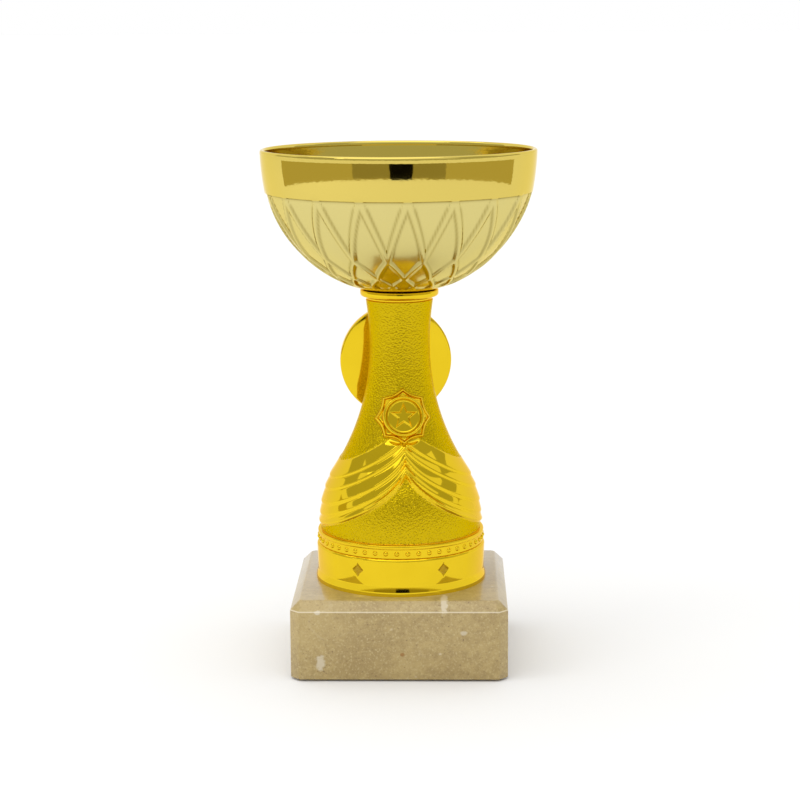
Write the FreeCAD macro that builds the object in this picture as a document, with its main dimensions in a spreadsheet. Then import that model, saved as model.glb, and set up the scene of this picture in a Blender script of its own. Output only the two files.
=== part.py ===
import FreeCAD, Part
import math
import os
import re
import Sketcher
from FreeCAD import Placement, Rotation, Vector

# A small cup trophy: a pressed metal bowl on a hollow moulded riser, a moulded foot ring and a
# marble block, all clamped together by one threaded rod.
# Z is up, the side with the medallion looks along -Y, and the origin is the middle of the
# underside of the pad.

doc = FreeCAD.newDocument("cup_trophy")

# ---------------------------------------------------------------- driving dimensions, in mm
SIZES = [
    ("pad_thickness", 0.6, "foam pad under the marble"),
    ("pad_inset", 3.0, "from the marble's sides to the pad's edge"),
    ("pad_corner", 4.0, "corner radius of the pad"),
    ("marble_width", 62.4, "each side of the square block"),
    ("marble_height", 22.7, "height of the block"),
    ("marble_bevel", 2.75, "bevel round the top face"),
    ("marble_corner", 2.6, "chamfer down each upright corner"),
    ("recess_diameter", 20.0, "recess under the block for the lower nut"),
    ("recess_depth", 9.0, "depth of that recess"),
    ("rod_diameter", 5.0, "M5 threaded rod"),
    ("rod_clearance", 0.5, "all round the rod in every hole it passes"),
    ("thread_clearance", 0.05, "all round the rod in the nuts"),
    ("rod_spare", 1.5, "rod left showing past each nut"),
    ("nut_flats", 8.0, "across the flats of an M5 nut"),
    ("nut_height", 4.0, "height of an M5 nut"),
    ("washer_diameter", 15.0, "large M5 washer"),
    ("washer_thickness", 1.2, "thickness of that washer"),
    ("spring_diameter", 9.2, "split spring washer"),
    ("spring_thickness", 1.3, "thickness of the spring washer"),
    ("spring_gap", 0.8, "width of its split"),
    ("foot_radius", 25.2, "outside of the foot ring"),
    ("foot_height", 11.0, "height of the foot ring to its shelf"),
    ("foot_wall", 2.2, "wall of the foot ring"),
    ("foot_web", 2.5, "thickness of the shelf"),
    ("foot_edge", 0.9, "rounding between the wall and the shelf"),
    ("foot_turn", 1.0, "degrees that the foot ring is turned on the block"),
    ("lip_height", 2.0, "locating lip on the shelf, inside the riser"),
    ("lip_wall", 2.0, "thickness of that lip"),
    ("lip_clearance", 0.25, "between the lip and the riser"),
    ("diamond_count", 6, "sunk diamonds round the foot ring"),
    ("diamond_width", 3.5, "width of a diamond"),
    ("diamond_height", 4.0, "height of a diamond"),
    ("diamond_depth", 0.25, "depth of a diamond"),
    ("diamond_level", 7.15, "middle of a diamond above the block"),
    ("riser_height", 75.0, "from the foot ring's shelf to the bowl's seat"),
    ("riser_wall", 2.0, "wall of the riser"),
    ("riser_roof", 3.5, "thickness of the riser's closed top"),
    ("riser_turn", 6.0, "degrees that the riser is turned on the block"),
    ("band_height", 2.7, "plain band that carries the beads"),
    ("line_height", 1.2, "half-round line above the band"),
    ("line_proud", 0.3, "how far the line stands out of the band"),
    ("bead_count", 48, "beads round the band"),
    ("bead_radius", 0.7, "radius of a bead"),
    ("bead_proud", 0.35, "how far a bead stands out of the band"),
    ("bead_level", 1.6, "middle of the beads above the shelf"),
    ("belly_inset", 1.55, "from the foot ring's side to the widest part of the riser's body"),
    ("belly_level", 6.3, "where the belly begins to curve in"),
    ("belly_arc", 30.9, "radius of the belly's curve"),
    ("flare_angle", 28.4, "degrees between the flare and upright"),
    ("flare_arc", 68.0, "radius of the hollow curve up to the neck"),
    ("neck_radius", 8.8, "narrowest part of the riser"),
    ("neck_drop", 16.2, "from the top down to where the neck is narrowest"),
    ("neck_arc", 86.0, "radius of the neck's curve above that"),
    ("neck_top_radius", 9.5, "neck just under the collar"),
    ("collar_radius", 11.45, "collar that the bowl sits on"),
    ("collar_height", 2.0, "thickness of the collar"),
    ("collar_round", 0.6, "rounding under the collar"),
    ("collar_fillet", 0.7, "hollow between the collar and the neck"),
    ("wing_proud", 0.5, "how far the chevron wings stand out of the body"),
    ("wing_root", 1.0, "how deep the wings reach into the wall"),
    ("wing_top", 34.3, "top edge of the wings in the middle"),
    ("wing_bottom", 22.9, "lower edge of the wings in the middle"),
    ("wing_top_slope", 31.0, "degrees that the top edge falls sideways"),
    ("wing_bottom_slope", 35.5, "degrees that the lower edge falls sideways"),
    ("medal_drop", 19.6, "from the narrowest neck down to the middle of the medallion"),
    ("medal_tip", 7.9, "radius to the eight points of the medallion"),
    ("medal_scallop", 5.0, "radius of the hollows between the points"),
    ("medal_flange", 0.5, "how far the pointed flange stands out"),
    ("medal_ring", 6.0, "outside radius of the raised ring"),
    ("medal_ring_width", 0.9, "width of the raised ring"),
    ("medal_ring_proud", 1.5, "how far the ring stands out"),
    ("medal_face_sunk", 0.6, "face inside the ring, below the ring"),
    ("boss_radius", 4.5, "boss behind the neck"),
    ("boss_stand", 4.9, "from the narrowest neck's side to the boss's flat end"),
    ("disc_drop", 7.3, "from the narrowest neck down to the middle of the disc holder"),
    ("disc_radius", 16.7, "outside of the disc holder"),
    ("disc_thickness", 3.2, "thickness of the disc holder"),
    ("disc_edge", 0.5, "chamfer round the disc holder"),
    ("peg_radius", 1.95, "peg of the disc holder"),
    ("peg_length", 4.4, "length of that peg"),
    ("peg_clearance", 0.05, "all round the peg in the boss"),
    ("emblem_diameter", 25.0, "standard centre disc"),
    ("emblem_thickness", 0.5, "thickness of the centre disc"),
    ("emblem_clearance", 0.2, "all round the centre disc in its recess"),
    ("dome_height", 1.6, "height of the clear dome"),
    ("dome_inset", 0.4, "from the centre disc's edge to the dome's"),
    ("emblem_sunk", 1.4, "depth of the recess for the centre disc"),
    ("bowl_radius", 40.0, "outside of the bowl"),
    ("bowl_height", 40.7, "from the bowl's seat to its rim"),
    ("bowl_wall", 0.6, "sheet thickness of the bowl"),
    ("bowl_seat", 10.2, "radius of the flat that sits on the collar"),
    ("bowl_band", 12.2, "plain band under the rim"),
    ("bowl_step", 0.3, "how far the panels are set in below the band"),
    ("bowl_turn", 5.0, "degrees that the bowl is turned on the block"),
    ("rim_curl", 0.7, "radius of the curled rim"),
]

sheet = doc.addObject("Spreadsheet::Sheet", "Sizes")
for row, (alias, value, note) in enumerate(SIZES, start=1):
    sheet.set("A%d" % row, note)
    sheet.set("B%d" % row, str(value))
    sheet.setAlias("B%d" % row, alias)
doc.recompute()

ALIAS = re.compile(r"\b(%s)\b" % "|".join(alias for alias, value, note in SIZES))


def sized(text):
    """The expression with each size's name pointing at its cell."""
    return ALIAS.sub(r"Sizes.\1", text)


def size(text):
    """The number that an expression gives now, in mm or degrees."""
    found = sheet.evalExpression(sized(text))
    return float(getattr(found, "Value", found))


def bind(thing, **sizes):
    """Ties properties of an object to expressions on the sheet."""
    for name, text in sizes.items():
        thing.setExpression(name, sized(text))


def stand(thing, label, level="0", turn="0"):
    """Names a finished piece, puts it at its level and turns it about the upright axis."""
    thing.Label = label
    thing.Placement = Placement(Vector(0, 0, 0), Rotation(Vector(0, 0, 1), size(turn)))
    thing.setExpression("Placement.Base.z", sized(level))
    return thing


# levels of the stack, from the surface that the trophy stands on
MARBLE_LEVEL = "pad_thickness"
FOOT_LEVEL = "pad_thickness + marble_height"
RISER_LEVEL = FOOT_LEVEL + " + foot_height"
BOWL_LEVEL = RISER_LEVEL + " + riser_height"
ROD_HOLE_RADIUS = "(rod_diameter / 2 + rod_clearance)"

# the riser's own radii and levels, above the foot ring's shelf
BAND_RADIUS = "(foot_radius - foot_edge)"
BELLY_RADIUS = "(foot_radius - belly_inset)"
NECK_LEVEL = "(riser_height - neck_drop)"
DISC_LEVEL = NECK_LEVEL + " - disc_drop"
BOSS_REACH = "neck_radius + boss_stand"


# ---------------------------------------------------------------- sketches and features
def origin_plane(body, role):
    """One of the body's own origin planes."""
    return [item for item in body.Origin.OriginFeatures if item.Role == role][0]


def new_sketch(body, name, role="XZ_Plane"):
    sketch = body.newObject("Sketcher::SketchObject", name)
    sketch.AttachmentSupport = [(origin_plane(body, role), "")]
    sketch.MapMode = "FlatFace"
    return sketch


def fix_point(sketch, edge, end, x, y):
    """Holds one end of an edge at two expressions."""
    for kind, text in (("DistanceX", x), ("DistanceY", y)):
        number = sketch.addConstraint(Sketcher.Constraint(kind, -1, 1, edge, end, size(text)))
        sketch.setExpression("Constraints[%d]" % number, sized(text))


def outline(sketch, corners):
    """Closes a loop through corners (x, y), all expressions.

    A corner (x, y, radius, side) starts an arc of that radius to the next corner, which bulges
    to the left of the way there when side is 1 and to the right when it is -1.
    """
    places = [Vector(size(corner[0]), size(corner[1]), 0) for corner in corners]
    ends = []
    for index, corner in enumerate(corners):
        here = places[index]
        there = places[(index + 1) % len(places)]
        if len(corner) == 2:
            edge = sketch.addGeometry(Part.LineSegment(here, there), False)
            ends.append((edge, 1, 2))
            continue
        radius = size(corner[2])
        chord = there - here
        half = chord.Length / 2
        rise = radius - math.sqrt(max(radius ** 2 - half ** 2, 0))
        across = Vector(-chord.y, chord.x, 0).normalize()
        middle = (here + there) * 0.5 + across * (rise * corner[3])
        edge = sketch.addGeometry(Part.Arc(here, middle, there), False)
        forward = (sketch.getPoint(edge, 1) - here).Length < (sketch.getPoint(edge, 2) - here).Length
        ends.append((edge, 1, 2) if forward else (edge, 2, 1))
    for index, (edge, first, last) in enumerate(ends):
        following = ends[(index + 1) % len(ends)]
        sketch.addConstraint(Sketcher.Constraint("Coincident", edge, last, following[0], following[1]))
        fix_point(sketch, edge, first, corners[index][0], corners[index][1])
        if len(corners[index]) == 4:
            number = sketch.addConstraint(Sketcher.Constraint("Radius", edge, size(corners[index][2])))
            sketch.setExpression("Constraints[%d]" % number, sized(corners[index][2]))


def circle(sketch, radius):
    """A circle about the sketch's origin."""
    edge = sketch.addGeometry(Part.Circle(Vector(0, 0, 0), Vector(0, 0, 1), size(radius)), False)
    sketch.addConstraint(Sketcher.Constraint("Coincident", edge, 3, -1, 1))
    number = sketch.addConstraint(Sketcher.Constraint("Radius", edge, size(radius)))
    sketch.setExpression("Constraints[%d]" % number, sized(radius))


def new_body(name):
    return doc.addObject("PartDesign::Body", name)


def turned_body(name, corners):
    """A body made by turning a section (radius, height) about the upright axis."""
    body = new_body(name)
    sketch = new_sketch(body, name + "_section")
    outline(sketch, corners)
    turned = body.newObject("PartDesign::Revolution", name + "_turned")
    turned.Profile = sketch
    turned.ReferenceAxis = (sketch, ["V_Axis"])
    turned.Angle = 360
    doc.recompute()
    return body


def pad(body, sketch, name, length, midplane=False):
    feature = body.newObject("PartDesign::Pad", name)
    feature.Profile = sketch
    feature.Midplane = midplane
    bind(feature, Length=length)
    doc.recompute()
    return feature


def pocket(body, sketch, name, length):
    """Cuts along the sketch's normal, and checks that something was cut."""
    before = body.Shape.Volume
    feature = body.newObject("PartDesign::Pocket", name)
    feature.Profile = sketch
    feature.Reversed = True
    bind(feature, Length=length)
    doc.recompute()
    if body.Shape.Volume > before - 1e-6:
        raise RuntimeError(name + " cuts nothing")
    return feature


def polar(body, original, name, count):
    pattern = body.newObject("PartDesign::PolarPattern", name)
    pattern.Originals = [original]
    pattern.Axis = ([item for item in body.Origin.OriginFeatures if item.Role == "Z_Axis"][0], [""])
    pattern.Angle = 360
    bind(pattern, Occurrences=count)
    body.Tip = pattern
    doc.recompute()
    return pattern


def dress(body, kind, name, chosen, length):
    """A chamfer or a fillet on the edges that the test picks."""
    base = body.Tip
    edges = ["Edge%d" % (number + 1) for number, edge in enumerate(base.Shape.Edges) if chosen(edge)]
    feature = body.newObject("PartDesign::" + kind, name)
    feature.Base = (base, edges)
    bind(feature, **{"Size" if kind == "Chamfer" else "Radius": length})
    doc.recompute()
    return feature


def upright(edge):
    box = edge.BoundBox
    return box.XLength + box.YLength < 1e-6


def cylinder(name, radius, height, level="0"):
    part = doc.addObject("Part::Cylinder", name)
    bind(part, Radius=radius, Height=height)
    part.setExpression("Placement.Base.z", sized(level))
    return part


def cut(name, base, tool):
    part = doc.addObject("Part::Cut", name)
    part.Base = base
    part.Tool = tool
    return part


def common(name, base, tool):
    part = doc.addObject("Part::Common", name)
    part.Base = base
    part.Tool = tool
    return part


def fuse(name, *shapes):
    part = doc.addObject("Part::MultiFuse", name)
    part.Shapes = list(shapes)
    part.Refine = True
    return part


# ---------------------------------------------------------------- pad and marble block
def square_body(name, width, height):
    body = new_body(name)
    sketch = new_sketch(body, name + "_outline", "XY_Plane")
    half = "(%s) / 2" % width
    outline(sketch, [("-" + half, "-" + half), (half, "-" + half), (half, half), ("-" + half, half)])
    pad(body, sketch, name + "_block", height)
    return body


def make_base_pad():
    body = square_body("base_pad_body", "marble_width - 2 * pad_inset", "pad_thickness")
    dress(body, "Fillet", "pad_corners", upright, "pad_corner")
    return stand(body, "base_pad")


def make_marble_base():
    body = square_body("marble_base_body", "marble_width", "marble_height")
    dress(body, "Chamfer", "marble_corners", upright, "marble_corner")
    top = size("marble_height")
    dress(body, "Chamfer", "marble_top_bevel", lambda edge: edge.BoundBox.ZMin > top - 1e-6, "marble_bevel")
    hole = new_sketch(body, "marble_rod_hole", "XY_Plane")
    circle(hole, ROD_HOLE_RADIUS)
    pocket(body, hole, "marble_rod_hole_cut", "marble_height + 1")
    recess = new_sketch(body, "marble_recess", "XY_Plane")
    circle(recess, "recess_diameter / 2")
    pocket(body, recess, "marble_recess_cut", "recess_depth")
    return stand(body, "marble_base", MARBLE_LEVEL)


# ---------------------------------------------------------------- rod, nuts and washers
# The rod's lower end hangs free in the recess, past the washer, the spring washer and the nut;
# its upper end stands free in the bowl, past the washer and the nut.
CLAMP_FACE = MARBLE_LEVEL + " + recess_depth"
ROD_FOOT = CLAMP_FACE + " - washer_thickness - spring_thickness - nut_height - rod_spare"
BOWL_FLOOR = BOWL_LEVEL + " + bowl_wall"


def make_tie_rod():
    top = BOWL_FLOOR + " + washer_thickness + nut_height + rod_spare"
    rod = cylinder("tie_rod_bar", "rod_diameter / 2", "%s - (%s)" % (top, ROD_FOOT))
    return stand(rod, "tie_rod", ROD_FOOT)


def make_nut(label, level):
    hexagon = doc.addObject("Part::Prism", label + "_hexagon")
    hexagon.Polygon = 6
    bind(hexagon, Circumradius="nut_flats / 2 / cos(30)", Height="nut_height")
    thread = cylinder(label + "_thread", "rod_diameter / 2 + thread_clearance", "nut_height")
    return stand(cut(label + "_cut", hexagon, thread), label, level)


def make_washer(label, diameter, thickness, level):
    disc = cylinder(label + "_disc", diameter + " / 2", thickness)
    hole = cylinder(label + "_hole", "rod_diameter / 2 + 0.15", thickness)
    return stand(cut(label + "_cut", disc, hole), label, level)


def make_spring_washer(level):
    disc = cylinder("spring_disc", "spring_diameter / 2", "spring_thickness")
    hole = cylinder("spring_hole", "rod_diameter / 2 + 0.15", "spring_thickness")
    ring = cut("spring_ring", disc, hole)
    split = doc.addObject("Part::Box", "spring_split")
    bind(split, Length="spring_gap", Width="spring_diameter", Height="spring_thickness")
    split.setExpression("Placement.Base.x", sized("-spring_gap / 2"))
    return stand(cut("spring_cut", ring, split), "base_spring_washer", level)


# ---------------------------------------------------------------- foot ring
def make_foot_ring():
    lip_outer = BELLY_RADIUS + " - riser_wall - lip_clearance"
    lip_inner = lip_outer + " - lip_wall"
    body = turned_body("foot_ring_body", [
        ("foot_radius - foot_wall", "0"),
        ("foot_radius", "0"),
        ("foot_radius", "foot_height - foot_edge", "foot_edge", -1),
        ("foot_radius - foot_edge", "foot_height"),
        (lip_outer, "foot_height"),
        (lip_outer, "foot_height + lip_height"),
        (lip_inner, "foot_height + lip_height"),
        (lip_inner, "foot_height - foot_web"),
        ("foot_radius - foot_wall", "foot_height - foot_web"),
    ])
    diamond = new_sketch(body, "diamond")
    diamond.setExpression("AttachmentOffset.Base.z", sized("foot_radius - diamond_depth"))
    outline(diamond, [
        ("0", "diamond_level - diamond_height / 2", "diamond_height", 1),
        ("diamond_width / 2", "diamond_level", "diamond_height", 1),
        ("0", "diamond_level + diamond_height / 2", "diamond_height", 1),
        ("-diamond_width / 2", "diamond_level", "diamond_height", 1),
    ])
    sunk = pocket(body, diamond, "diamond_cut", "diamond_depth + 1")
    polar(body, sunk, "diamonds", "diamond_count")
    return stand(body, "foot_ring", FOOT_LEVEL, "foot_turn + 180 / diamond_count")


# ---------------------------------------------------------------- riser
# The body's outline is a belly, a straight flare and a hollow neck.  A skin of any thickness
# over it has the same three centres, so inner and outer walls come from one formula.

def body_curve(proud):
    """Corners from the belly up to the neck, proud of the body by an expression."""
    return [
        (BELLY_RADIUS + " + %s" % proud, "belly_level", "belly_arc + %s" % proud, -1),
        (BELLY_RADIUS + " - belly_arc + (belly_arc + %s) * cos(flare_angle)" % proud,
         "belly_level + (belly_arc + %s) * sin(flare_angle)" % proud),
        ("neck_radius + flare_arc - (flare_arc - %s) * cos(flare_angle)" % proud,
         NECK_LEVEL + " - (flare_arc - %s) * sin(flare_angle)" % proud, "flare_arc - %s" % proud, 1),
        ("neck_radius + %s" % proud, NECK_LEVEL),
    ]


def make_riser_outside():
    line_foot = "band_height"
    line_top = "band_height + line_height"
    collar_foot = "riser_height - collar_height"
    curve = body_curve("0")
    neck = curve[-1] + ("neck_arc", 1)
    body = turned_body("riser_outside", [
        ("0", "0"),
        (BAND_RADIUS, "0"),
        (BAND_RADIUS, line_foot),
        (BAND_RADIUS + " + line_proud", line_foot + " + line_height * 0.3"),
        (BAND_RADIUS + " + line_proud", line_foot + " + line_height * 0.7"),
        (BELLY_RADIUS, line_top),
    ] + curve[:-1] + [
        neck,
        ("neck_top_radius", collar_foot + " - collar_fillet - 0.4"),
        ("neck_top_radius", collar_foot + " - collar_fillet", "collar_fillet", 1),
        ("neck_top_radius + collar_fillet", collar_foot),
        ("collar_radius - collar_round", collar_foot, "collar_round", -1),
        ("collar_radius", collar_foot + " + collar_round"),
        ("collar_radius", "riser_height"),
        ("0", "riser_height"),
    ])
    bead = body.newObject("PartDesign::AdditiveSphere", "bead")
    bind(bead, Radius="bead_radius")
    bead.setExpression("AttachmentOffset.Base.y", sized("-(%s + bead_proud - bead_radius)" % BAND_RADIUS))
    bead.setExpression("AttachmentOffset.Base.z", sized("bead_level"))
    bead.AttachmentSupport = [(origin_plane(body, "XY_Plane"), "")]
    bead.MapMode = "FlatFace"
    doc.recompute()
    polar(body, bead, "beads", "bead_count")
    return body


def make_wings():
    """The raised chevrons: a skin over the body, kept where the chevron's outline covers it."""
    root = [corner[:2] for corner in body_curve("-wing_root")]
    skin = turned_body("wing_skin", [
        (BELLY_RADIUS + " - wing_root", "band_height + line_height"),
        (BELLY_RADIUS + " + wing_proud", "band_height + line_height"),
    ] + body_curve("wing_proud") + [
        root[3] + ("flare_arc + wing_root", -1),
        root[2],
        root[1] + ("belly_arc - wing_root", 1),
        root[0],
    ])
    outer = new_body("wing_outline")
    sketch = new_sketch(outer, "wing_chevron")
    reach = "(%s + 2)" % BELLY_RADIUS
    top_side = "wing_top - %s * tan(wing_top_slope)" % reach
    bottom_side = "wing_bottom - %s * tan(wing_bottom_slope)" % reach
    outline(sketch, [
        ("0", "wing_bottom"),
        (reach, bottom_side),
        (reach, top_side),
        ("0", "wing_top"),
        ("-" + reach, top_side),
        ("-" + reach, bottom_side),
    ])
    pad(outer, sketch, "wing_prism", "2 * " + reach, midplane=True)
    return common("wings", skin, outer)


def make_medallion():
    """A pointed flange that follows the neck, and a flat ring with a sunk face on top of it."""
    tilt = math.asin(size("medal_drop / flare_arc"))
    front = size("neck_radius + flare_arc") - size("flare_arc") * math.cos(tilt)
    leaning = Rotation(Vector(1, 0, 0), 90 - math.degrees(tilt))
    seat = Placement(Vector(0, -front, size(NECK_LEVEL + " - medal_drop")), leaning)

    points = new_body("medal_points")
    sketch = new_sketch(points, "medal_scallops", "XY_Plane")
    outline(sketch, [("medal_tip * cos(%d)" % turn, "medal_tip * sin(%d)" % turn, "medal_scallop", 1)
                     for turn in range(0, 360, 45)])
    pad(points, sketch, "medal_prism", "4 * medal_tip", midplane=True)
    points.Placement = seat
    skin = turned_body("medal_skin",
                       [("0", "belly_level")] + body_curve("medal_flange") + [("0", NECK_LEVEL)])
    front_half = doc.addObject("Part::Box", "medal_front_half")
    bind(front_half, Length="2 * " + BELLY_RADIUS, Width=BELLY_RADIUS, Height="riser_height")
    front_half.setExpression("Placement.Base.x", sized("-" + BELLY_RADIUS))
    front_half.setExpression("Placement.Base.y", sized("-" + BELLY_RADIUS))
    flange = common("medal_flange_front", common("medal_flange_both", skin, points), front_half)

    disc = cylinder("medal_disc", "medal_ring", "medal_ring_proud + neck_radius / 2", "-neck_radius / 2")
    face = cylinder("medal_face", "medal_ring - medal_ring_width", "1 + medal_face_sunk",
                    "medal_ring_proud - medal_face_sunk")
    ring = cut("medal_ring_solid", disc, face)
    ring.Placement = seat
    return fuse("medallion", flange, ring)


def make_riser():
    boss = cylinder("disc_boss", "boss_radius", "boss_stand + neck_radius / 2")
    boss.Placement = Placement(Vector(0, size("neck_radius / 2"), 0), Rotation(Vector(1, 0, 0), -90))
    boss.setExpression("Placement.Base.z", sized(DISC_LEVEL))
    outside = fuse("riser_solid", make_riser_outside(), make_wings(), make_medallion(), boss)

    inner = body_curve("-riser_wall")
    cavity = turned_body("riser_cavity", [
        ("0", "0"),
        (BELLY_RADIUS + " - riser_wall", "0"),
    ] + inner + [
        ("neck_radius - riser_wall", "riser_height - riser_roof"),
        ("0", "riser_height - riser_roof"),
    ])
    rod_hole = cylinder("riser_rod_hole", ROD_HOLE_RADIUS, "riser_height + 1")
    peg_hole = cylinder("riser_peg_hole", "peg_radius + peg_clearance", BOSS_REACH)
    peg_hole.Placement = Placement(Vector(0, 0, 0), Rotation(Vector(1, 0, 0), -90))
    peg_hole.setExpression("Placement.Base.z", sized(DISC_LEVEL))
    hollow = fuse("riser_hollow", cavity, rod_hole, peg_hole)
    return stand(cut("riser_cut", outside, hollow), "riser", RISER_LEVEL, "riser_turn")


# ---------------------------------------------------------------- disc holder and its centre
def facing_back(thing, label, reach):
    """Stands a piece that was turned about Z on the back of the riser, Z pointing outwards."""
    turn = Rotation(Vector(0, 0, 1), size("riser_turn"))
    thing.Label = label
    thing.Placement = Placement(Vector(0, 0, 0), turn * Rotation(Vector(1, 0, 0), -90))
    thing.setExpression("Placement.Base.x", sized("-(%s) * sin(riser_turn)" % reach))
    thing.setExpression("Placement.Base.y", sized("(%s) * cos(riser_turn)" % reach))
    thing.setExpression("Placement.Base.z", sized(RISER_LEVEL + " + " + DISC_LEVEL))
    return thing


def make_disc_holder():
    recess = "emblem_diameter / 2 + emblem_clearance"
    body = turned_body("disc_holder_body", [
        ("0", "-peg_length"),
        ("peg_radius", "-peg_length"),
        ("peg_radius", "0"),
        ("disc_radius - disc_edge", "0"),
        ("disc_radius", "disc_edge"),
        ("disc_radius", "disc_thickness - disc_edge"),
        ("disc_radius - disc_edge", "disc_thickness"),
        (recess, "disc_thickness"),
        (recess, "disc_thickness - emblem_sunk"),
        ("0", "disc_thickness - emblem_sunk"),
    ])
    return facing_back(body, "disc_holder", BOSS_REACH)


EMBLEM_REACH = BOSS_REACH + " + disc_thickness - emblem_sunk"


def make_emblem_disc():
    disc = cylinder("emblem_disc_plate", "emblem_diameter / 2", "emblem_thickness")
    return facing_back(disc, "emblem_disc", EMBLEM_REACH)


def make_emblem_dome():
    radius = "(emblem_diameter / 2 - dome_inset)"
    curve = "(%s ^ 2 + dome_height ^ 2) / (2 * dome_height)" % radius
    body = turned_body("emblem_dome_body", [
        ("0", "0"),
        (radius, "0", curve, -1),
        ("0", "dome_height"),
    ])
    return facing_back(body, "emblem_dome", EMBLEM_REACH + " + emblem_thickness")


# ---------------------------------------------------------------- bowl
def make_bowl():
    """A pressed shell: flat seat, round panels, a step, a plain band and a curled rim."""
    outer = "(bowl_radius - bowl_step)"
    inner = "(bowl_radius - bowl_step - bowl_wall)"
    centre = "sqrt(%s ^ 2 - bowl_seat ^ 2)" % outer
    step = "(bowl_height - bowl_band)"
    step_outer = "sqrt(%s ^ 2 - (%s - %s) ^ 2)" % (outer, centre, step)
    step_inner = "sqrt(%s ^ 2 - (%s - %s) ^ 2)" % (inner, centre, step)
    band_foot = "(%s + bowl_step)" % step_outer
    floor_inner = "sqrt(%s ^ 2 - (%s - bowl_wall) ^ 2)" % (inner, centre)
    body = turned_body("bowl_body", [
        (ROD_HOLE_RADIUS, "0"),
        ("bowl_seat", "0", outer, -1),
        (step_outer, step),
        (band_foot, step, "2 * bowl_radius", -1),
        ("bowl_radius", "bowl_height - rim_curl", "rim_curl", -1),
        ("bowl_radius - rim_curl", "bowl_height", "rim_curl", -1),
        ("bowl_radius - 2 * rim_curl", "bowl_height - rim_curl"),
        ("bowl_radius - 2 * rim_curl", "bowl_height - 2 * rim_curl"),
        ("bowl_radius - bowl_wall", "bowl_height - 2 * rim_curl", "2 * bowl_radius", 1),
        (step_inner, step, inner, 1),
        (floor_inner, "bowl_wall"),
        (ROD_HOLE_RADIUS, "bowl_wall"),
    ])
    return stand(body, "bowl", BOWL_LEVEL, "bowl_turn")


# ---------------------------------------------------------------- assembly
pieces = [
    make_base_pad(),
    make_marble_base(),
    make_tie_rod(),
    make_washer("base_washer", "washer_diameter", "washer_thickness", CLAMP_FACE + " - washer_thickness"),
    make_spring_washer(CLAMP_FACE + " - washer_thickness - spring_thickness"),
    make_nut("base_nut", CLAMP_FACE + " - washer_thickness - spring_thickness - nut_height"),
    make_foot_ring(),
    make_riser(),
    make_disc_holder(),
    make_emblem_disc(),
    make_emblem_dome(),
    make_bowl(),
    make_washer("bowl_washer", "washer_diameter", "washer_thickness", BOWL_FLOOR),
    make_nut("bowl_nut", BOWL_FLOOR + " + washer_thickness"),
]
doc.recompute()

for thing in doc.Objects:
    if "Invalid" in thing.State or "Error" in thing.State:
        raise RuntimeError("%s failed: %s" % (thing.Name, thing.State))
for piece in pieces:
    if piece.Shape.isNull() or not piece.Shape.isValid() or len(piece.Shape.Solids) != 1:
        raise RuntimeError("%s is not one valid solid" % piece.Label)

os.makedirs("parts", exist_ok=True)
for piece in pieces:
    piece.Shape.exportStep("parts/%s.step" % piece.Label)
    box = piece.Shape.BoundBox
    print("%-20s z %7.2f to %7.2f  volume %9.1f" % (piece.Label, box.ZMin, box.ZMax, piece.Shape.Volume))
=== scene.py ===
import math

import bpy
import numpy as np
from mathutils import Matrix, Vector


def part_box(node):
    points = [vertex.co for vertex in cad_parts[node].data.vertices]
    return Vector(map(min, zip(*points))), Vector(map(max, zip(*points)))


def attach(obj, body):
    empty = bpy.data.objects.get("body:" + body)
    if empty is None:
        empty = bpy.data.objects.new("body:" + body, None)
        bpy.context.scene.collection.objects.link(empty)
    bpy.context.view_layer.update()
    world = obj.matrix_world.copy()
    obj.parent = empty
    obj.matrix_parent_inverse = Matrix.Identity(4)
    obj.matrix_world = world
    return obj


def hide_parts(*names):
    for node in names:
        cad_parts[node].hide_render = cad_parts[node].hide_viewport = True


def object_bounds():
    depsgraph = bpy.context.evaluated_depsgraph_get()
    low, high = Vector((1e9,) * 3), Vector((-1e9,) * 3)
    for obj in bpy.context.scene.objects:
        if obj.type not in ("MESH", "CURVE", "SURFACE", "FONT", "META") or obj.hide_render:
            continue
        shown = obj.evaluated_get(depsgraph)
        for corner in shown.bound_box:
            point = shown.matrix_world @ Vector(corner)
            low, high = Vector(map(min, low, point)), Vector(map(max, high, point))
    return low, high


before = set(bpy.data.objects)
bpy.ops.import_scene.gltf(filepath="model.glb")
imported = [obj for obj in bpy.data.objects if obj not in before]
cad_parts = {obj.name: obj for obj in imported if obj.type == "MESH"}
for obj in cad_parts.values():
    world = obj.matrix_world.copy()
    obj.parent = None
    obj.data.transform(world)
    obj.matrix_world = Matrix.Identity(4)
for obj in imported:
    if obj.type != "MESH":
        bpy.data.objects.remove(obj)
cad_low, cad_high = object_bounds()
MM = 0.001

# ---------------------------------------------------------------- studio
# A white table in a white room, under a soft lamp and a bright ceiling.  Cards round the trophy
# stand for the darker parts of the room that polished gold mirrors, and only reflections see them.
scene = bpy.context.scene
scene.view_settings.view_transform = "Standard"

white_room = bpy.data.worlds.new("white_room")
white_room.use_nodes = True
white_room.node_tree.nodes["Background"].inputs["Color"].default_value = (1.0, 1.0, 1.0, 1)
white_room.node_tree.nodes["Background"].inputs["Strength"].default_value = 1.0
scene.world = white_room

bpy.ops.object.select_all(action="DESELECT")
bpy.ops.mesh.primitive_plane_add(size=60.0, location=(0, 0, cad_low.z))
table = bpy.context.object
table.name = "table"
table_paint = bpy.data.materials.new("table_paint")
table_paint.use_nodes = True
table_shader = table_paint.node_tree.nodes["Principled BSDF"]
table_shader.inputs["Base Color"].default_value = (0.84, 0.84, 0.84, 1)
table_shader.inputs["Roughness"].default_value = 0.9
table.data.materials.append(table_paint)


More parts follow.
